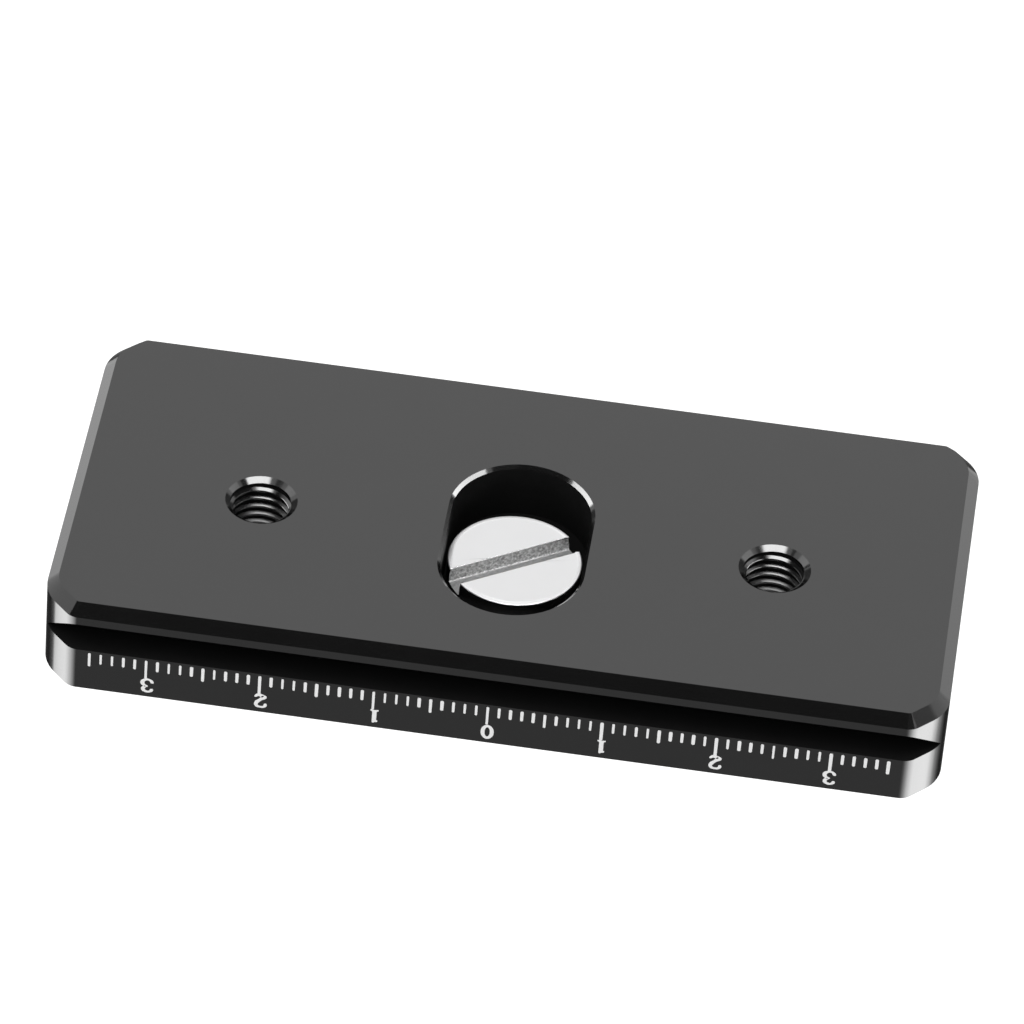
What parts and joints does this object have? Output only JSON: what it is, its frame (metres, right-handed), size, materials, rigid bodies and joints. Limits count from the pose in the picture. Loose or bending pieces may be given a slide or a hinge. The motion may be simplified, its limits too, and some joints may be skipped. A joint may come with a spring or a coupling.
{
  "type": "tripod quick release plate",
  "caption": "Black dovetail quick release plate with a captive slotted camera screw in a cross slot, threaded side holes, rubber strips and an engraved scale.",
  "frame": {"origin": "centre of the foot face, the face that lies in the clamp", "axes": "+X along the length, -Y the side with the scale, +Z out of the foot face, away from the camera"},
  "size_m": [0.079, 0.038, 0.0145],
  "materials": {
    "anodised": "black anodised, fine satin",
    "screw_steel": "turned and tumbled, satin",
    "spring_steel": "stamped spring steel",
    "strip_rubber": "matt"
  },
  "bodies": {
    "plate_body": {"plate": "anodised", "grip_strip_front": "strip_rubber", "grip_strip_rear": "strip_rubber"},
    "ring_body": {"screw_clip": "spring_steel"},
    "screw_body": {"camera_screw": "screw_steel"}
  },
  "joints": [
    {"name": "screw_slide", "type": "slide", "parent": "plate_body", "child": "ring_body", "axis": [0, 1, 0], "range_m": [-0.0036, 0.0036]},
    {"name": "screw_turn", "type": "hinge", "parent": "ring_body", "child": "screw_body", "pos_m": [0, -0.00225, 0], "axis": [0, 0, 1], "continuous": true}
  ]
}
